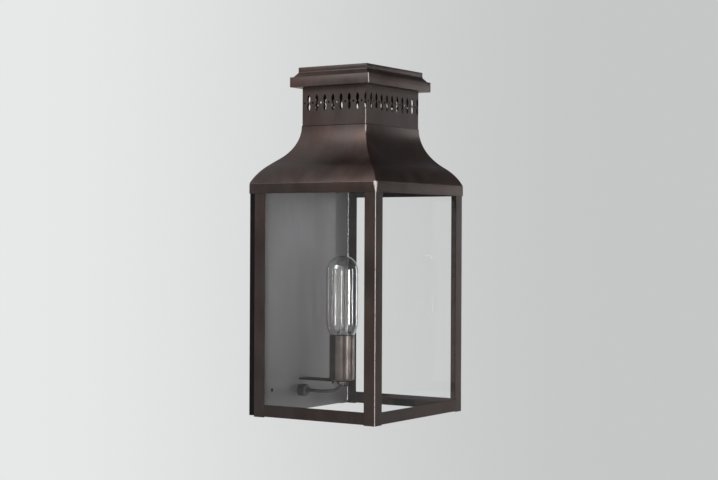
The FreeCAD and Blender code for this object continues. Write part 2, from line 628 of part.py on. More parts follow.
LEAD_R = 0.35
leads = []
for bend in (bends[0], bends[-1]):
    flat = Vec(bend[0], bend[1] - LAMP_Y, 0)
    near = flat * (2.6 / flat.Length)
    far = flat * ((flat.Length + 0.1) / flat.Length)
    leads.append(rod(LEAD_R, (near.x, LAMP_Y + near.y, STEM_PRESS + 0.6),
                     (far.x, LAMP_Y + far.y, CAGE_LOW - 0.8)))
save("lead_wires", Part.makeCompound(leads))

# ---- cable gland ------------------------------------------------------------------------------------
gx, gz = GLAND
FLEX_R = 2.6
gland = rod(GLAND_THREAD_R, (gx, PLATE_BACK + 6, gz), (gx, PLATE_FRONT, gz))
gland = gland.fuse(hexagon(16.0, (gx, PLATE_FRONT, gz), "y", -4.0))
gland = gland.fuse(rod(6.2, (gx, PLATE_FRONT - 4, gz), (gx, PLATE_FRONT - 6.5, gz))).removeSplitter()
SEAL_R = 4.4
gland = gland.cut(rod(SEAL_R, (gx, 0, gz), (gx, -40, gz)))
save("gland_body", gland)
lock = hexagon(16.0, (gx, PLATE_BACK, gz), "y", 4.0).cut(rod(GLAND_THREAD_R, (gx, -20, gz), (gx, 0, gz)))
save("gland_locknut", lock)
dome_front = PLATE_FRONT - 12.0
dome = rod(8.4, (gx, PLATE_FRONT - 4, gz), (gx, dome_front, gz))
dome_edge = [e for e in dome.Edges if abs(e.BoundBox.YMax - dome_front) < 0.01]
dome = dome.makeFillet(3.0, dome_edge)
for k in range(6):
    turn = math.radians(60 * k)
    cx, cz = gx + 9.4 * math.cos(turn), gz + 9.4 * math.sin(turn)
    dome = dome.cut(rod(1.6, (cx, -60, cz), (cx, 0, cz)))
dome = dome.cut(rod(6.2, (gx, PLATE_FRONT, gz), (gx, PLATE_FRONT - 6.5, gz)))
dome = dome.cut(rod(SEAL_R, (gx, PLATE_FRONT, gz), (gx, -60, gz)))
save("gland_nut", dome)
save("gland_seal", tube(SEAL_R, FLEX_R, (gx, PLATE_FRONT - 1, gz), (gx, dome_front, gz)))

# ---- flex: from the gland's seal up into the lampholder's nipple ------------------------
route = [(gx, -18.0, gz), (gx, -28.0, gz), (-4.4, -45.0, 27.2), (0.0, -64.2, 29.0),
         (0.0, -72.25, 33.65), (0.0, -76.9, 41.7), (0.0, -76.9, 51.0)]


def tube_path(points):
    """Straight runs joined by tangent arcs, each as large as its two runs allow."""
    corners = [Vec(*p) for p in points]
    edges = []
    here = corners[0]
    radii = []
    for before, at, after in zip(corners, corners[1:], corners[2:]):
        arriving, leaving = (at - before), (after - at)
        shorter = min(arriving.Length, leaving.Length)
        turn = arriving.getAngle(leaving)
        if turn < 1e-4:
            continue
        cut = 0.45 * shorter
        radius = cut / math.tan(turn / 2)
        radii.append(radius)
        first = at - arriving.normalize() * cut
        last = at + leaving.normalize() * cut
        bisector = (last - at).normalize() + (first - at).normalize()
        middle = at + bisector.normalize() * (radius / math.cos(turn / 2) - radius)
        edges.append(Part.LineSegment(here, first).toShape())
        edges.append(Part.Arc(first, middle, last).toShape())
        here = last
    edges.append(Part.LineSegment(here, corners[-1]).toShape())
    print("flex bend radii:", ["%.1f" % r for r in radii])
    return Part.Wire(edges)


path = tube_path(route)
section = Part.Wire(Part.makeCircle(FLEX_R, Vec(*route[0]), Vec(0, 1, 0)))
flex = path.makePipeShell([section], True, False)
print("flex volume %.1f, section x length %.1f, length %.1f"
      % (flex.Volume, math.pi * FLEX_R ** 2 * path.Length, path.Length))
save("flex", flex)

# the two cores that fan out inside the holder to its terminal screws
CORE_R = 0.8
core_start = route[-1][2] + CORE_R
cores = [rod(CORE_R, (side * 1.0, route[-1][1], core_start), (side * 6.2, LAMP_Y, INSERT_LOW - 2.2))
         for side in (-1, 1)]
save("flex_cores", Part.makeCompound(cores))
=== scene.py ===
"""Outdoor wall lantern: finishes and fine pieces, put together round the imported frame.

Everything is in metres in the frame's own axes: +X right as you face the wall, +Y into
the wall, +Z up, with the origin between the four wall fixings.
"""
import math

import bmesh
import bpy
import numpy as np
from mathutils import Matrix, Vector


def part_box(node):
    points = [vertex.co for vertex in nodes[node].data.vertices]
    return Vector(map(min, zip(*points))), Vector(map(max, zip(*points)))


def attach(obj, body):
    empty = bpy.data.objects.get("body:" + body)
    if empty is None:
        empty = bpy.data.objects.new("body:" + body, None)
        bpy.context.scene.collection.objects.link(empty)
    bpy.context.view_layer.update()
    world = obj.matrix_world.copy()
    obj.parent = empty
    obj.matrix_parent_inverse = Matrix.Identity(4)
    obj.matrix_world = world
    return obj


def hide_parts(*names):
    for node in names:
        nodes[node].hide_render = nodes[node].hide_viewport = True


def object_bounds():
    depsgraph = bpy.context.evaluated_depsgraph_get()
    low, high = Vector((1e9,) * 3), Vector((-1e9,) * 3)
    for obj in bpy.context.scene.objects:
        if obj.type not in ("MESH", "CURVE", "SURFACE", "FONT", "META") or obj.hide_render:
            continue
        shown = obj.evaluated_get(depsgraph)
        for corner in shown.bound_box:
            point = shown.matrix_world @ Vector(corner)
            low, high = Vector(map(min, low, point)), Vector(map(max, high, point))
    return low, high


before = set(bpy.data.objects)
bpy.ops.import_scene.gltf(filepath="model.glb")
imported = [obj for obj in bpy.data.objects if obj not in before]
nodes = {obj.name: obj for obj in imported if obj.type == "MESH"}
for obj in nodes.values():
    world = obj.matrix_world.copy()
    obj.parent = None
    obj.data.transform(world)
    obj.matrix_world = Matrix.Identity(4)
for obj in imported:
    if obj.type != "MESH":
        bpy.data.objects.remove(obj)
cad_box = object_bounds()

# ---- camera ----------------------------------------------------------------------------
# A long lens at the height of the glass, turned so that the left side of the lantern is
# seen as wide as its front.
camera_data = bpy.data.cameras.new("camera")
SENSOR_WIDE, LENS = 36.0, 77.22          # millimetres
CAMERA_STANDS = (-1.76656, -1.26291, 0.08878)
TURNED_RIGHT, TILTED_UP, ROLLED = 56.719, -0.0136, 0.2637          # degrees
camera_data.sensor_width = SENSOR_WIDE
camera_data.lens = LENS
camera_data.clip_start = 0.05
camera = bpy.data.objects.new("camera", camera_data)
bpy.context.scene.collection.objects.link(camera)
bpy.context.scene.camera = camera
turned_right = math.radians(TURNED_RIGHT)
level = Vector((math.sin(turned_right), math.cos(turned_right), 0))
forward = (level + Vector((0, 0, math.radians(TILTED_UP)))).normalized()
camera.matrix_world = (Matrix.Translation(CAMERA_STANDS)
                       @ forward.to_track_quat("-Z", "Y").to_matrix().to_4x4()
                       @ Matrix.Rotation(math.radians(ROLLED), 4, "Z"))

# ---- flex ------------------------------------------------------------------------------
# The round black lead that sags from the cable gland to the underside of the lampholder.
# Its route is the one the design gives, from inside the gland's seal to the nipple.
FLEX_DIAMETER = 0.0052
flex_route = [(-0.0070, -0.01800, -0.12160), (-0.0070, -0.02800, -0.12160),
              (-0.0044, -0.04500, -0.12280), (0.0000, -0.06420, -0.12100),
              (0.0000, -0.07225, -0.11635), (0.0000, -0.07690, -0.10830),
              (0.0000, -0.07690, -0.09900)]
flex_line = bpy.data.curves.new("flex_line", "CURVE")
flex_line.dimensions = "3D"
flex_line.resolution_u = 16
spline = flex_line.splines.new("NURBS")
spline.points.add(len(flex_route) - 1)
for point, place in zip(spline.points, flex_route):
    point.co = (*place, 1.0)
spline.order_u = 3
spline.use_endpoint_u = True
line_object = bpy.data.objects.new("flex_line", flex_line)
flex_path = [tuple(v.co) for v in bpy.data.meshes.new_from_object(line_object).vertices]
flex_line.bevel_depth = FLEX_DIAMETER / 2
flex_line.bevel_resolution = 5
flex_line.use_fill_caps = True
flex_piece = bpy.data.objects.new("flex_lead", bpy.data.meshes.new_from_object(line_object))
flex_piece.data.name = "flex_lead"
flex_piece.data.shade_smooth()
bpy.data.objects.remove(line_object)
bpy.context.scene.collection.objects.link(flex_piece)
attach(flex_piece, "lantern")
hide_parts("flex")


class Wire:
    """A shader socket that is added to, scaled and compared as a number is."""

    def __init__(self, finish, socket):
        self.finish = finish
        self.socket = socket

    def sum_of(self, operation, first, second):
        """One Math node on two sockets or numbers."""
        return self.finish.node("Math", {"operation": operation}, {0: first, 1: second})

    def __add__(self, other):
        return self.sum_of("ADD", self, other)

    __radd__ = __add__

    def __sub__(self, other):
        return self.sum_of("SUBTRACT", self, other)

    def __rsub__(self, other):
        return self.sum_of("SUBTRACT", other, self)

    def __mul__(self, other):
        return self.sum_of("MULTIPLY", self, other)

    __rmul__ = __mul__

    def __truediv__(self, other):
        return self.sum_of("DIVIDE", self, other)

    def __pow__(self, other):
        return self.sum_of("POWER", self, other)

    def above(self, low, high):
        """0 at low, 1 at high, eased in between; the other way round if high is lower."""
        if high < low:
            return 1 - self.above(high, low)
        return self.finish.node("MapRange", {"interpolation_type": "SMOOTHSTEP"},
                                {"Value": self, "From Min": low, "From Max": high})

    def size(self):
        """The number without its sign."""
        return self.finish.node("Math", {"operation": "ABSOLUTE"}, {0: self})


class Finish:
    """A material: one Principled surface, and the nodes that vary its colour and gloss."""

    def __init__(self, name, colour, roughness, metallic=0.0, **constants):
        self.material = bpy.data.materials.new(name)
        self.material.use_nodes = True
        self.tree = self.material.node_tree
        self.surface = self.tree.nodes["Principled BSDF"]
        self.put("Base Color", (*colour, 1.0))
        self.put("Roughness", roughness)
        self.put("Metallic", metallic)
        for socket, value in constants.items():
            self.put(socket.replace("_", " "), value)

    def node(self, kind, settings=None, sockets=None, out=0):
        """Adds a node: its type, its settings, then what its sockets hold or are linked to."""
        made = self.tree.nodes.new("ShaderNode" + kind)
        for name, value in (settings or {}).items():
            setattr(made, name, value)
        for name, value in (sockets or {}).items():
            if isinstance(value, Wire):
                self.tree.links.new(value.socket, made.inputs[name])
            else:
                made.inputs[name].default_value = value
        return Wire(self, made.outputs[out])

    def put(self, socket, value):
        """Sets one of the surface's own sockets, or links it."""
        if isinstance(value, Wire):
            self.tree.links.new(value.socket, self.surface.inputs[socket])
        else:
            self.surface.inputs[socket].default_value = value

    def place(self):
        """Where a point is in the lantern's frame, and its x, y and z."""
        where = self.node("TexCoord", out=3)
        axes = [self.node("SeparateXYZ", None, {0: where}, out=k) for k in range(3)]
        return where, *axes

    def stretched(self, where, scale):
        """The place scaled on each axis, so that a pattern is drawn out where it is small."""
        return self.node("Mapping", None, {"Vector": where, "Scale": scale})

    def clouds(self, where, scale, detail=3.0, roughness=0.55):
        """Smooth noise from 0 to 1, with about scale blots to a metre."""
        return self.node("TexNoise", None, {"Vector": where, "Scale": scale, "Detail": detail,
                                            "Roughness": roughness})

    def blend(self, share, first, second):
        """A colour between two others."""
        first, second = [c if isinstance(c, Wire) else (*c, 1.0) for c in (first, second)]
        return self.node("Mix", {"data_type": "RGBA"}, {0: share, 6: first, 7: second}, out=2)

    def bumps(self, height, depth, strength=1.0):
        """Raises the surface by depth metres where height is 1."""
        lifted = self.node("Bump", None, {"Height": height, "Distance": depth,
                                          "Strength": strength})
        self.put("Normal", lifted)


sheath = Finish("flex_sheath_black", (0.018, 0.018, 0.019), 0.42)
where, *_ = sheath.place()
dust = sheath.clouds(where, 260.0)
sheath.put("Base Color", sheath.blend(dust, (0.012, 0.012, 0.013), (0.034, 0.033, 0.032)))
sheath.put("Roughness", 0.34 + 0.2 * dust)
flex_piece.data.materials.clear()
flex_piece.data.materials.append(sheath.material)

# ---- patinated brass -------------------------------------------------------------------
# All the sheet and strip of the body is brass darkened to a brown bronze. The colour is clouded
# and a little streaked. Some folds show a pale line of metal without patina: real wear on the
# roof's hips, the gallery and the cap, filed solder on the band's corner, and a painted highlight
# on the front posts' folds and the band's top edge.
PATINA_DARK = (0.026, 0.017, 0.015)
PATINA_WARM = (0.074, 0.046, 0.039)
PATINA_GREY = (0.060, 0.050, 0.047)
BARE_METAL_AND_GLINT = (0.66, 0.60, 0.56)
# The near-black of the painted shade in the joint at the roof's neck.
JOINT_SHADE = (0.006, 0.005, 0.005)


def patina(name, wear_and_glint=None, roughness=0.36, shaded=None, tone=1.0):
    """Dark bronze, lighter or darker by tone, which paints light and shade: each part gets its own
    copy at its own brightness.

    The two masks take x, y, z and give 1 where they act. The wear mask lays on a pale line of
    metal without patina: real wear on some parts, a painted highlight on others. The shade mask
    lays on painted shade.
    """
    dark, warm, grey = [tuple(c * tone for c in colour)
                        for colour in (PATINA_DARK, PATINA_WARM, PATINA_GREY)]
    finish = Finish(name, dark, roughness, 0.86, Specular_IOR_Level=0.5)
    where, x, y, z = finish.place()
    broad = finish.clouds(where, 11.0, 4.0, 0.6)
    mottle = finish.clouds(finish.stretched(where, (34.0, 34.0, 17.0)), 1.0, 4.0, 0.55)
    fine = finish.clouds(where, 420.0, 3.0, 0.6)
    ground = finish.blend(broad.above(0.36, 0.66), grey, warm)
    colour = finish.blend(mottle.above(0.28, 0.74) * 0.5 + 0.3, dark, ground)
    gloss = roughness + 0.12 * mottle.above(0.35, 0.7) + 0.07 * fine
    # Wear and painted highlight: a pale line of metal without patina, real wear on some parts and
    # a painted highlight on the front posts' folds and the band's top edge.
    if wear_and_glint:
        bare_and_glint = wear_and_glint(x, y, z) * fine.above(0.22, 0.5)
        colour = finish.blend(bare_and_glint, colour, BARE_METAL_AND_GLINT)
        gloss = gloss - 0.06 * bare_and_glint
    # Painted shade: near-black blended in where the shade mask acts.
    if shaded:
        colour = finish.blend(shaded(x, y, z), colour, JOINT_SHADE)
    finish.put("Base Color", colour)
    finish.put("Roughness", gloss)
    finish.bumps(broad * 0.7 + fine * 0.04, 0.0010, 0.4)
    return finish


def finished(node_names, finish):
    """CAD pieces that keep their own shape and only take a finish."""
    for node_name in node_names:
        for place in nodes[node_name].material_slots:
            place.material = finish.material


CREASE = math.radians(32)          # a fold sharper than this stays a sharp edge


def eased(node_names, finish, width=0.0003, body="lantern"):
    """CAD pieces with their sharp edges broken: a merged copy of each, with a small bevel."""
    for node_name in node_names:
        mesh = nodes[node_name].data.copy()
        work = bmesh.new()
        work.from_mesh(mesh)
        bmesh.ops.remove_doubles(work, verts=work.verts, dist=1e-6)
        bmesh.ops.dissolve_limit(work, angle_limit=math.radians(0.5), verts=work.verts,
                                 edges=work.edges)
        work.to_mesh(mesh)
        work.free()
        if "custom_normal" in mesh.attributes:
            mesh.attributes.remove(mesh.attributes["custom_normal"])
        mesh.shade_smooth()
        mesh.set_sharp_from_angle(angle=CREASE)
        mesh.materials.clear()
        mesh.materials.append(finish.material)
        piece = bpy.data.objects.new(node_name + "_made", mesh)
        bpy.context.scene.collection.objects.link(piece)
        if width:
            bevel = piece.modifiers.new("broken_edges", "BEVEL")
            bevel.width = width
            bevel.segments = 2
            bevel.limit_method = "ANGLE"
            bevel.angle_limit = CREASE
            bevel.harden_normals = True
        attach(piece, body)
        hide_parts(node_name)


left_front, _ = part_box("front_post_left")
FOLD_HIGHLIGHT_REACH = 0.0011            # how far the painted highlight reaches from the fold


def post_fold_highlight(x, y, z):
    """Painted highlight: a pale line, coloured as metal without patina, along the outside fold of
    the front posts.
    """
    from_fold = (x.size() + left_front.x).size() + (y - left_front.y).size()
    return from_fold.above(FOLD_HIGHLIGHT_REACH, FOLD_HIGHLIGHT_REACH * 0.35) * 0.72


# Painted light and shade: each part's copy of the patina is made lighter or darker, the rails
# darkest and the cap lightest.
body_patina = patina("patina_posts", post_fold_highlight, tone=0.95)
rail_patina = patina("patina_rails", tone=0.85)
eased(["front_post_left", "front_post_right", "back_post_left", "back_post_right"],
      body_patina, 0.00025)
eased(["bottom_rail_front", "bottom_rail_left", "bottom_rail_right", "top_rail_front",
       "top_rail_left", "top_rail_right", "glass_rests"], rail_patina, 0.0002)

# ---- eaves band, roof, cap -------------------------------------------------------------
# Brass sheet folded round four sides: a band at the eaves, four ogee panels soldered down
# their hips, and a stepped cap of band, cove and flat crown.


FOLD = math.radians(38)          # made sheet turns sharper than this only at a fold


def surface(name, grid, finish, along=False, body="lantern"):
    """A mesh from points on a grid, closed round its columns, and its rows too if along."""
    rows, columns = grid.shape[:2]
    index = np.arange(rows * columns).reshape(rows, columns)
    index = np.concatenate([index, index[:, :1]], axis=1)
    if along:
        index = np.concatenate([index, index[:1]], axis=0)
    faces = np.stack([index[:-1, :-1], index[:-1, 1:], index[1:, 1:], index[1:, :-1]], axis=-1)
    mesh = bpy.data.meshes.new(name)
    mesh.from_pydata(grid.reshape(-1, 3).tolist(), [], faces.reshape(-1, 4).tolist())
    work = bmesh.new()
    work.from_mesh(mesh)
    bmesh.ops.remove_doubles(work, verts=work.verts, dist=1e-7)
    bmesh.ops.dissolve_degenerate(work, dist=1e-8, edges=work.edges)
    bmesh.ops.recalc_face_normals(work, faces=work.faces)
    work.to_mesh(mesh)
    work.free()
    mesh.shade_smooth()
    mesh.set_sharp_from_angle(angle=FOLD)
    mesh.materials.append(finish.material)
    piece = bpy.data.objects.new(name, mesh)
    bpy.context.scene.collection.objects.link(piece)
    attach(piece, body)
    return piece


def round_four_sides(half_x, front, back, height, corner, steps=6):
    """A grid of rounded rectangles, one row for each value of the arrays.

    Each corner is a quarter circle of the given radius about a centre set in from it.
    """
    half_x, front, back, height = [np.asarray(a, float)[:, None]
                                   for a in (half_x, front, back, height)]
    turn = np.concatenate([np.linspace(k, k + 1, steps) for k in (2, 3, 0, 1)]) * math.pi / 2
    side = np.sign(np.cos(turn.reshape(4, steps).mean(1))).repeat(steps)
    deep = np.sign(np.sin(turn.reshape(4, steps).mean(1))).repeat(steps)
    radius = np.minimum(corner, np.minimum(half_x, (back - front) / 2))
    x = side * (half_x - radius) + radius * np.cos(turn)
    y = np.where(deep > 0, back - radius, front + radius) + radius * np.sin(turn)
    return np.stack([x, y, np.broadcast_to(height, x.shape)], axis=-1)


band_low, band_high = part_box("eaves_band")
roof_foot = band_high.z
gallery_low, gallery_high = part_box("gallery_front")
_, gallery_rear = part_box("gallery_back")
_, roof_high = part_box("roof_left")
SHEET = 0.001            # thickness of the brass sheet
BAND_CORNER, ROOF_CORNER, CAP_CORNER = 0.0009, 0.0011, 0.0007          # radii of the folds
neck_half = gallery_high.x + SHEET
neck_front = gallery_low.y - SHEET
neck_back = gallery_rear.y + SHEET


def band_solder_and_highlight(x, y, z):
    """A wedge of filed solder up the left front corner of the band, wider at its top, and a
    painted highlight along the band's top edge.
    """
    rise = (z - band_low.z).above(0.0, band_high.z - band_low.z)
    from_corner = (x - band_low.x).size() + (y - band_low.y).size()
    wide = 0.0014 + 0.0026 * rise
    # Painted highlight: a faint pale line along the band's top edge.
    top_highlight = z.above(band_high.z - 0.0013, band_high.z - 0.0005) * 0.12
    return (from_corner / wide).above(1.15, 0.8) + top_highlight


def roof_wear(x, y, z):
    """A rubbed line down the top of each hip, where the sweep is nearly upright."""
    from_hip = (x.size() - neck_half).size() + (y - neck_front).size()
    return from_hip.above(0.0020, 0.0006) * z.above(roof_high.z - 0.016, roof_high.z - 0.006) * 0.6


def neck_joint_shade(x, y, z):
    """Painted shade: near-black in the open joint where the roof's neck laps the gallery."""
    return z.above(roof_high.z - 0.0011, roof_high.z - 0.0004)


def around_band(profile):
    """A profile of (in from the band's face, height) pairs carried round the band."""
    inset, height = np.array(profile).T
    return round_four_sides(band_high.x - inset, band_low.y + inset, band_high.y - inset,
                            height, BAND_CORNER)


band_patina = patina("patina_band", band_solder_and_highlight)
band_piece = surface("eaves_band_strip", around_band([
    (0.0008, band_low.z), (0.0002, band_low.z), (0.0, band_low.z + 0.0003),
    (0.0, band_high.z - 0.0013), (0.0003, band_high.z - 0.0010), (0.0003, band_high.z - 0.0003),
    (0.0005, band_high.z), (0.0010, band_high.z), (0.0010, band_low.z)]),
    band_patina, along=True)
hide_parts("eaves_band")


def ogee(run, rise, foot, cross, height):
    """How far in a two-arc ogee is at each height: a swell, then a sweep that ends upright.

    Both arcs meet the slope 'cross' where they join; the radii solve the run and the rise.
    """
    sf, cf, sc, cc = math.sin(foot), math.cos(foot), math.sin(cross), math.cos(cross)
    whole = (sf - sc) * cc - (1 - sc) * (cc - cf)
    swell = (run * cc - (1 - sc) * rise) / whole
    sweep = ((sf - sc) * rise - (cc - cf) * run) / whole
    join = swell * (cc - cf)
    low = swell * sf - np.sqrt(np.maximum(swell ** 2 - (height + swell * cf) ** 2, 0))
    high = run - sweep + np.sqrt(np.maximum(sweep ** 2 - (rise - height) ** 2, 0))
    return np.where(height < join, low, high)


ROOF_FOOT_SLOPE, ROOF_CROSS_SLOPE = math.radians(68.0), math.radians(37.7)
rise = roof_high.z - roof_foot
side_run = band_high.x - neck_half
rear_run = -neck_back
climb = rise * (1 - np.cos(np.linspace(0, math.pi, 72))) / 2
side_in = ogee(side_run, rise, ROOF_FOOT_SLOPE, ROOF_CROSS_SLOPE, climb)
rear_in = ogee(rear_run, rise, math.atan(math.tan(ROOF_FOOT_SLOPE) * side_run / rear_run),
               math.atan(math.tan(ROOF_CROSS_SLOPE) * side_run / rear_run), climb)
roof_patina = patina("patina_roof", roof_wear, 0.30, neck_joint_shade, 1.45)
roof_piece = surface("roof_panels", round_four_sides(
    band_high.x - side_in, band_low.y + side_in, -rear_in, roof_foot + climb, ROOF_CORNER),
    roof_patina)
thick = roof_piece.modifiers.new("sheet", "SOLIDIFY")
thick.thickness = SHEET
thick.offset = -1.0
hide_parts("roof_left", "roof_right", "roof_front", "roof_back")


GALLERY_WORN_BELOW, GALLERY_PLAIN_ABOVE = 0.262, 0.286          # heights


def gallery_wear(x, y, z):
    """Bare metal down each front fold of the gallery."""
    from_fold = (x.size() - gallery_high.x).size() + (y - gallery_low.y).size()
    return from_fold.above(0.0011, 0.0004) * z.above(GALLERY_PLAIN_ABOVE,
                                                     GALLERY_WORN_BELOW) * 0.7


def cap_wear(x, y, z):
    """A rubbed edge on the cap's two front corners."""
    from_fold = (x.size() - cap_high.x).size() + (y - cap_low.y).size()
    return from_fold.above(0.0014, 0.0005) * 0.6


cap_low, cap_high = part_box("cap_band")
cove_low, cove_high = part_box("cap_cove")
crown_low, crown_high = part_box("cap_crown")
gallery_patina = patina("patina_gallery", gallery_wear, tone=1.2)
eased(["gallery_front", "gallery_right", "gallery_back", "gallery_left"], gallery_patina,
      0.0)
moulding_patina = patina("patina_moulding", tone=1.5)
finished(["cap_soffit"], moulding_patina)


def around_cap(profile, low, high):
    """A profile of (in from the moulding's face, height) pairs carried round the cap."""
    inset, height = np.array(profile).T
    return round_four_sides(high.x - inset, low.y + inset, high.y - inset, height,
                            CAP_CORNER)


cap_patina = patina("patina_cap", cap_wear, tone=1.6)
band_piece = surface("cap_band_strip", around_cap([
    (0.0010, cap_low.z), (0.0006, cap_low.z), (0.0002, cap_low.z + 0.0002),
    (0.0, cap_low.z + 0.0006), (0.0, cap_high.z - 0.0005), (0.00015, cap_high.z - 0.00015),
    (0.0005, cap_high.z), (0.0090, cap_high.z), (0.0090, cap_high.z - SHEET),
    (0.0010, cap_high.z - SHEET)], cap_low, cap_high), cap_patina, along=True)
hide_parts("cap_band")

hollow = np.linspace(0, math.pi / 2, 14)
cove_run = cove_high.x - crown_high.x
cove_rise = cove_high.z - cove_low.z
cove_profile = np.stack([cove_run * np.sin(hollow) ** 1.15,
                         cove_low.z + cove_rise * (1 - np.cos(hollow) ** 1.15)], axis=-1)
cove_back = [(cove_run + SHEET, cove_high.z), (SHEET, cove_low.z)]
cove_piece = surface("cap_cove_sweep", around_cap(
    np.concatenate([cove_profile, cove_back]), cove_low, cove_high), moulding_patina,
    along=True)
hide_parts("cap_cove")

CROWN_TURNED_IN = 0.005          # height of the lid's inner lip
deepest = (crown_high.y - crown_low.y) / 2
crown_piece = surface("cap_crown_lid", around_cap([
    (deepest, crown_low.z + CROWN_TURNED_IN), (SHEET, crown_low.z + CROWN_TURNED_IN),
    (SHEET, crown_low.z),
    (0.0002, crown_low.z), (0.0, crown_low.z + 0.0003), (0.0, crown_high.z - 0.0007),
    (0.0002, crown_high.z - 0.0002), (0.0007, crown_high.z), (0.0012, crown_high.z),
    (0.0030, crown_high.z), (deepest, crown_high.z)],
    crown_low, crown_high), moulding_patina)
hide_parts("cap_crown")

# ---- back plate and wall tray ----------------------------------------------------------
# The back plate is the same sheet with a lighter, satin face towards the lamp. The tray that holds
# it off the wall is folded steel, painted black; its black is set darker than paint goes, as
# painted shade for the gap against the wall.
plate = Finish("back_plate_satin", (0.15, 0.146, 0.15), 0.4, 0.62)
where, _, _, z = plate.place()
cloudy = plate.clouds(where, 16.0, 4.0, 0.6)
brushed = plate.clouds(plate.stretched(where, (30.0, 30.0, 4.0)), 1.0, 4.0, 0.6)
# Painted light: the plate is drawn lighter towards its top, blended with clouds.
height = z.above(-0.16, 0.16)
tone = plate.blend(height * 0.6 + cloudy * 0.4, (0.139, 0.131, 0.132), (0.222, 0.215, 0.229))
plate.put("Base Color", plate.blend(brushed.above(0.35, 0.7) * 0.35, tone, (0.155, 0.138, 0.132)))
plate.put("Roughness", 0.36 + 0.12 * cloudy + 0.08 * brushed)
plate.bumps(cloudy, 0.0008, 0.3)
eased(["back_plate"], plate, 0.0)

# Painted shade: a black darker than black paint, standing in for the shade in the gap between the
# plate and the wall.
tray_paint_and_shade = Finish("tray_black_paint_and_shade", (0.003, 0.003, 0.003), 0.7, 0.0, Specular_IOR_Level=0.1)
where, *_ = tray_paint_and_shade.place()
orange_peel = tray_paint_and_shade.clouds(where, 900.0, 2.0)
scuffs = tray_paint_and_shade.clouds(where, 40.0, 4.0)
tray_paint_and_shade.put("Base Color", tray_paint_and_shade.blend(scuffs.above(0.5, 0.8), (0.002, 0.002, 0.002),
                                              (0.007, 0.006, 0.006)))
tray_paint_and_shade.put("Roughness", 0.42 + 0.2 * scuffs)
tray_paint_and_shade.bumps(orange_peel, 0.00008, 0.5)
eased(["wall_tray", "distance_sleeves", "lamp_bracket", "hanging_cleat"], tray_paint_and_shade,
      0.0002)

# ---- panes -----------------------------------------------------------------------------
# Three panes of 3 mm float glass, clear with a trace of green, standing on tabs inside the
# bottom rails and held off the metal by rubber wedges.


DEEP_GLASS = (0.20, 0.21, 0.19)


def clear(name, tint, gloss, roughness, haze, rim=0.0):
    """Glass that shows what is behind it: Transparent, with a mirror mixed in.

    The mirror's share is 4% face on and rises with the fifth power towards edge on. rim is
    how much darker it gets there, where there is more glass to look through.
    """
    finish = Finish(name, tint, roughness, 0.0)
    facing = finish.node("LayerWeight", None, {"Blend": 0.5}, out=1)
    edge_on = 0.04 + 0.96 * facing ** 5
    smears = finish.clouds(finish.place()[0], 18.0, 4.0, 0.6).above(0.45, 0.75)
    through = finish.node("BsdfTransparent", None, {"Color": (*tint, 1.0)})
    deep = finish.node("BsdfTransparent", None, {"Color": (*DEEP_GLASS, 1.0)})
    body = finish.node("MixShader", None, {0: facing ** 3 * rim, 1: through, 2: deep})
    mirror = finish.node("BsdfGlossy", None, {"Color": (1, 1, 1, 1), "Roughness": roughness})
    share = edge_on * gloss + smears * haze
    mixed = finish.node("MixShader", None, {0: share, 1: body, 2: mirror})
    out = finish.tree.nodes["Material Output"]
    finish.tree.links.new(mixed.socket, out.inputs["Surface"])
    finish.tree.nodes.remove(finish.surface)
    return finish


pane_glass = clear("pane_glass", (0.994, 0.997, 0.995), 0.35, 0.012, 0.008)
eased(["glass_front", "glass_left", "glass_right"], pane_glass, 0.0003)

rubber = Finish("wedge_rubber", (0.010, 0.010, 0.010), 0.75)
where, *_ = rubber.place()
bloom = rubber.clouds(where, 300.0)
rubber.put("Base Color", rubber.blend(bloom, (0.006, 0.006, 0.006), (0.022, 0.021, 0.020)))
rubber.put("Roughness", 0.6 + 0.25 * bloom)
eased(["front_glass_pads", "rear_glass_pads"], rubber, 0.0004)
finished(["gland_seal"], rubber)

# ---- solder seams ----------------------------------------------------------------------
# Bright tin solder run down the inside corners where the back plate meets the back posts. It
# was laid by hand, so it beads and wanders a little.
tin = Finish("bright_solder", (0.86, 0.85, 0.83), 0.24, 0.75)
where, *_ = tin.place()
dull = tin.clouds(where, 500.0)
tin.put("Roughness", 0.16 + 0.22 * dull)
tin.put("Base Color", tin.blend(dull.above(0.4, 0.75), (0.92, 0.91, 0.89), (0.62, 0.60, 0.57)))
seam_low, seam_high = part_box("solder_seams")
BEAD = 0.00082            # the bead's mean radius, which swells and narrows down the seam
CORNER_TO_BEAD = 0.0010
down = np.linspace(seam_low.z, seam_high.z, 700)[:, None]
about = np.linspace(0, 2 * math.pi, 10, endpoint=False)[None, :]
for side, seam_name in ((-1, "solder_bead_left"), (1, "solder_bead_right")):
    swell = (BEAD + 0.00026 * np.sin(down * 1500 + side) * np.sin(down * 410)
             + 0.00014 * np.sin(down * 2300 + 2.0))
    wander = 0.00016 * np.sin(down * 160 + side) + 0.0001 * np.sin(down * 470)
    swell = swell * np.minimum(1, np.minimum(down - seam_low.z, seam_high.z - down) / 0.002)
    x = side * (seam_high.x - CORNER_TO_BEAD - wander - swell * np.cos(about))
    y = seam_high.y - CORNER_TO_BEAD + wander + swell * np.sin(about)
    grid = np.stack(np.broadcast_arrays(x, y, down), axis=-1)
    bead = surface(seam_name, grid, tin)
    if side > 0:
        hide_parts("solder_seams")

# ---- label -----------------------------------------------------------------------------
# A dark rating label inside the right bottom rail, left blank.
label = Finish("label_film", (0.012, 0.012, 0.012), 0.75, 0.0, Specular_IOR_Level=0.12)
where, *_ = label.place()
grain = label.clouds(where, 600.0)
label.put("Base Color", label.blend(grain, (0.009, 0.009, 0.009), (0.018, 0.018, 0.018)))
finished(["rating_label"], label)

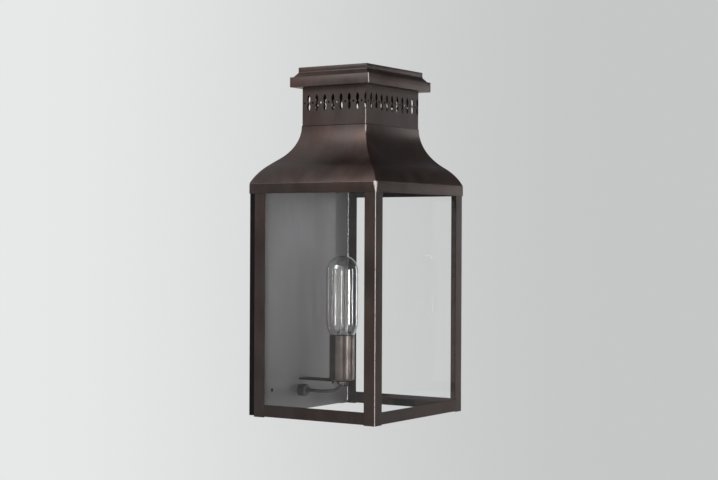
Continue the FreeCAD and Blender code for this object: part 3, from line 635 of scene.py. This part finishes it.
# ---- lampholder ------------------------------------------------------------------------
# A spun cup in dark bronze stands on the bracket's end, held by a threaded nipple and nut. In
# it sit a ceramic body, a brass screw shell, a sprung contact and two terminal screws.
cup_low, cup_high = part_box("lampholder_cup")
lamp_y = (cup_low.y + cup_high.y) / 2
cup_radius = cup_high.x


def spun(name, outline, finish, body="lantern", steps=96):
    """An outline of (radius, height) pairs turned about the lamp's upright axis."""
    radius, height = np.array(outline, float).T
    turn = np.linspace(0, 2 * math.pi, steps, endpoint=False)
    grid = np.stack(np.broadcast_arrays(radius[:, None] * np.cos(turn),
                                        lamp_y + radius[:, None] * np.sin(turn),
                                        height[:, None]), axis=-1)
    return surface(name, grid, finish, body=body)


def quarter(centre, radius, start, end, steps=8):
    """Points on an arc, with its angles in degrees."""
    angle = np.radians(np.linspace(start, end, steps))
    return np.stack([centre[0] + radius * np.cos(angle), centre[1] + radius * np.sin(angle)],
                    axis=-1)


cup_bronze = Finish("cup_bronze", (0.15, 0.125, 0.11), 0.3, 0.92)
where, *_ = cup_bronze.place()
turning = cup_bronze.clouds(cup_bronze.stretched(where, (25.0, 25.0, 500.0)), 1.0, 3.0)
mottle = cup_bronze.clouds(where, 60.0, 4.0)
cup_bronze.put("Base Color", cup_bronze.blend(mottle.above(0.35, 0.7), (0.080, 0.064, 0.060),
                                              (0.150, 0.122, 0.112)))
cup_bronze.put("Roughness", 0.17 + 0.09 * turning + 0.06 * mottle)
cup_bronze.bumps(turning, 0.00001, 0.06)
CUP_HOLE, CUP_FOOT, CUP_LIP = 0.0050, 0.0016, 0.0006          # radii: hole, foot's bend, rim
cup_outline = np.concatenate([
    [(CUP_HOLE, cup_low.z)],
    quarter((cup_radius - CUP_FOOT, cup_low.z + CUP_FOOT), CUP_FOOT, -90, 0),
    [(cup_radius, cup_high.z - CUP_FOOT)],
    quarter((cup_radius - CUP_LIP, cup_high.z - CUP_LIP), CUP_LIP, 0, 180),
    [(cup_radius - 2 * CUP_LIP, cup_low.z + 0.0020), (CUP_HOLE, cup_low.z + 0.0010),
     (CUP_HOLE, cup_low.z)]])
cup_piece = spun("lampholder_cup_spun", cup_outline, cup_bronze)
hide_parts("lampholder_cup")

ceramic = Finish("glazed_ceramic", (0.80, 0.78, 0.73), 0.22, 0.0, Coat_Weight=0.4)
where, *_ = ceramic.place()
specks = ceramic.clouds(where, 900.0).above(0.62, 0.75)
ceramic.put("Base Color", ceramic.blend(specks * 0.4, (0.80, 0.78, 0.73), (0.55, 0.50, 0.43)))
eased(["lampholder_insert"], ceramic, 0.0003)

brass = Finish("rolled_brass", (0.78, 0.55, 0.28), 0.24, 1.0)
where, *_ = brass.place()
tarnish = brass.clouds(where, 120.0, 4.0)
brass.put("Base Color", brass.blend(tarnish.above(0.4, 0.75), (0.83, 0.62, 0.33),
                                    (0.46, 0.27, 0.13)))
brass.put("Roughness", 0.18 + 0.22 * tarnish)
finished(["screw_shell", "centre_contact"], brass)

zinc = Finish("zinc_plate", (0.66, 0.66, 0.64), 0.28, 1.0)
where, *_ = zinc.place()
spangle = zinc.clouds(where, 700.0)
zinc.put("Base Color", zinc.blend(spangle, (0.60, 0.60, 0.58), (0.74, 0.74, 0.73)))
zinc.put("Roughness", 0.2 + 0.2 * spangle)
eased(["earth_stud", "earth_tag", "earth_nut"], zinc, 0.00015)
finished(["terminal_screws"], zinc)
eased(["lamp_nipple", "nipple_nut"], cup_bronze, 0.00015)
finished(["flex_cores"], sheath)

nylon = Finish("black_nylon", (0.016, 0.016, 0.016), 0.45)
where, *_ = nylon.place()
moulded = nylon.clouds(where, 800.0)
nylon.put("Base Color", nylon.blend(moulded, (0.012, 0.012, 0.012), (0.030, 0.030, 0.029)))
nylon.put("Roughness", 0.36 + 0.2 * moulded)
eased(["gland_body", "gland_locknut", "gland_nut"], nylon, 0.0002)

# ---- lamp ------------------------------------------------------------------------------
# A clear tubular filament lamp: a blown envelope with a round end, a pressed glass stem, a
# zig-zag filament on wire hooks, and a rolled brass cap with its thread, insulator and contact.
glass_low, glass_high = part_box("bulb_glass")
bulb_radius = glass_high.x
SKIN = 0.0006            # thickness of the blown glass
NECK_RADIUS = 0.0136
FLARE_LOW = glass_low.z + 0.0008
RIM_RADIUS, RIM_HEIGHT = 0.0176, glass_low.z + 0.0054
SHOULDER = glass_low.z + 0.0220
cap_box_low, cap_box_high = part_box("bulb_cap")


def envelope(skin):
    """The blown outline from the neck up to the tip, set in by the glass's thickness.

    A flare out to the holder's rim, a quarter sine out to the full width, a tube, a round end.
    """
    r, neck, rim = bulb_radius - skin, NECK_RADIUS - skin, RIM_RADIUS - skin
    share = np.linspace(0, 1, 14)
    flare = np.stack([neck + (rim - neck) * share ** 1.3,
                      FLARE_LOW + (RIM_HEIGHT - FLARE_LOW) * share], axis=-1)
    taper = np.stack([rim + (r - rim) * np.sin(share * math.pi / 2),
                      RIM_HEIGHT + (SHOULDER - RIM_HEIGHT) * share], axis=-1)
    tube = np.stack([np.full(12, r), np.linspace(SHOULDER, glass_high.z - bulb_radius, 12)],
                    axis=-1)
    dome = quarter((0.0, glass_high.z - bulb_radius), r, 0, 90, 28)
    return np.concatenate([[(neck, glass_low.z)], flare, taper[1:], tube[1:], dome[1:]])


bulb_glass = clear("lamp_glass", (0.990, 0.993, 0.991), 2.4, 0.0, 0.0, 0.7)
outside, inside = envelope(0.0), envelope(SKIN)
envelope_piece = spun("lamp_envelope", np.concatenate([outside, inside[::-1], outside[:1]]),
                      bulb_glass, "bulb_envelope")
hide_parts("bulb_glass")

THREAD_PITCH = 0.00363
THREAD_DEPTH = 0.00055
thread_low, thread_high = cap_box_low.z + 0.0022, cap_box_high.z - 0.0012
turn = np.linspace(0, 2 * math.pi, 96, endpoint=False)[None, :]
climb = np.linspace(thread_low, thread_high, 90)[:, None]
fade = np.clip(np.minimum(climb - thread_low, thread_high - climb) / 0.0015, 0, 1)
wave = np.cos(2 * math.pi * climb / THREAD_PITCH - turn)
radius = cap_box_high.x - THREAD_DEPTH + THREAD_DEPTH * wave * fade
CAP_BORE = 0.0088
rings = [(CAP_BORE, cap_box_low.z), (0.0095, cap_box_low.z), (0.0118, cap_box_low.z + 0.0012)]
heads = [(0.0125, cap_box_high.z - 0.0006), (0.0128, cap_box_high.z), (CAP_BORE, cap_box_high.z)]


def plain_rings(pairs):
    """Level rings of (radius, height) as rows of a grid."""
    r, h = np.array(pairs).T
    return np.stack(np.broadcast_arrays(r[:, None] * np.cos(turn),
                                        lamp_y + r[:, None] * np.sin(turn), h[:, None]), axis=-1)


thread = np.stack(np.broadcast_arrays(radius * np.cos(turn), lamp_y + radius * np.sin(turn),
                                      climb), axis=-1)
cap_piece = surface("lamp_cap_threaded",
                    np.concatenate([plain_rings(rings), thread, plain_rings(heads)]),
                    brass, along=True, body="bulb_core")
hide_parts("bulb_cap")
finished(["bulb_contact"], brass)
finished(["bulb_insulator"], ceramic)
eased(["bulb_stem"], bulb_glass, 0.0, "bulb_core")

wire_metal = Finish("filament_wire", (0.42, 0.39, 0.35), 0.45, 1.0)
where, *_ = wire_metal.place()
sooty = wire_metal.clouds(where, 300.0)
wire_metal.put("Base Color", wire_metal.blend(sooty.above(0.5, 0.9), (0.46, 0.43, 0.39),
                                              (0.26, 0.23, 0.20)))
finished(["filament", "filament_hooks", "lead_wires"], wire_metal)

# ---- studio ----------------------------------------------------------------------------
# The lantern hangs over a round pale floor that fades out at its rim, in a pale room with a
# dim ceiling. Tall narrow soft boxes stand to the front and sides, as windows would.
floor_mesh = bpy.data.meshes.new("floor")
HUNG_AT, REACH, FLOOR_SIDES = 1.4, 2.2, 64
floor_turn = np.linspace(0, 2 * math.pi, FLOOR_SIDES, endpoint=False)
floor_rim = np.stack([REACH * np.cos(floor_turn), REACH * np.sin(floor_turn),
                      np.full(FLOOR_SIDES, cad_box[0].z - HUNG_AT)], axis=-1)
floor_mesh.from_pydata(floor_rim.tolist(), [], [tuple(range(FLOOR_SIDES))])
floor = bpy.data.objects.new("floor", floor_mesh)
bpy.context.scene.collection.objects.link(floor)
pale = Finish("pale_floor", (0.88, 0.88, 0.88), 0.9)
_, x, y, _ = pale.place()
pale.put("Alpha", ((x * x + y * y) ** 0.5).above(REACH - 0.1, 1.1))
floor_mesh.materials.append(pale.material)

WALLS = (0.560, 0.572, 0.568)
LIT_WALL = (0.800, 0.808, 0.806)
CEILING = (0.085, 0.080, 0.078)
world = bpy.data.worlds.new("studio")
bpy.context.scene.world = world
world.use_nodes = True
sky = world.node_tree
towards = sky.nodes.new("ShaderNodeTexCoord")
shade = WALLS
for lean, start, end, tone in (((-0.75, 0.66, 0.0), -0.42, -0.04, LIT_WALL),
                               ((0.35, -0.45, 0.82), 0.30, 0.66, CEILING)):
    along = sky.nodes.new("ShaderNodeVectorMath")
    along.operation = "DOT_PRODUCT"
    along.inputs[1].default_value = Vector(lean).normalized()
    sky.links.new(towards.outputs["Generated"], along.inputs[0])
    share = sky.nodes.new("ShaderNodeMapRange")
    share.interpolation_type = "SMOOTHSTEP"
    share.inputs["From Min"].default_value, share.inputs["From Max"].default_value = start, end
    sky.links.new(along.outputs["Value"], share.inputs["Value"])
    room = sky.nodes.new("ShaderNodeMix")
    room.data_type = "RGBA"
    sky.links.new(share.outputs["Result"], room.inputs[0])
    if shade is WALLS:
        room.inputs[6].default_value = (*WALLS, 1.0)
    else:
        sky.links.new(shade, room.inputs[6])
    room.inputs[7].default_value = (*tone, 1.0)
    shade = room.outputs[2]
sky.links.new(shade, sky.nodes["Background"].inputs["Color"])


AIMED_AT = 0.15            # height on the lantern that every soft box faces


def soft_box(name, bearing, away, height, wide, tall, brightness):
    """A soft box aimed at the lamp; its bearing is in degrees from -Y towards -X."""
    data = bpy.data.lights.new(name, "AREA")
    data.shape = "RECTANGLE"
    data.size, data.size_y = wide, tall
    data.energy = brightness * math.pi * wide * tall
    lamp = bpy.data.objects.new(name, data)
    bpy.context.scene.collection.objects.link(lamp)
    turn = math.radians(bearing)
    lamp.location = (-away * math.sin(turn), lamp_y - away * math.cos(turn), height)
    aim = Vector((0, lamp_y, AIMED_AT)) - lamp.location
    lamp.rotation_euler = aim.to_track_quat("-Z", "Y").to_euler()


# name, bearing, distance, height, width, tallness, brightness
for box in (("front_box", 6, 2.4, 0.15, 0.17, 1.3, 26.0),
            ("camera_box", 61, 2.8, 0.15, 0.08, 1.2, 13.0),
            ("right_box", -67, 2.4, 0.15, 0.14, 1.3, 8.5),
            ("narrow_box", -22, 2.4, 0.15, 0.05, 1.2, 24.0),
            ("left_box", 108, 2.4, 1.5, 1.1, 1.1, 6.0)):
    soft_box(*box)
bpy.context.scene.view_settings.view_transform = "Standard"
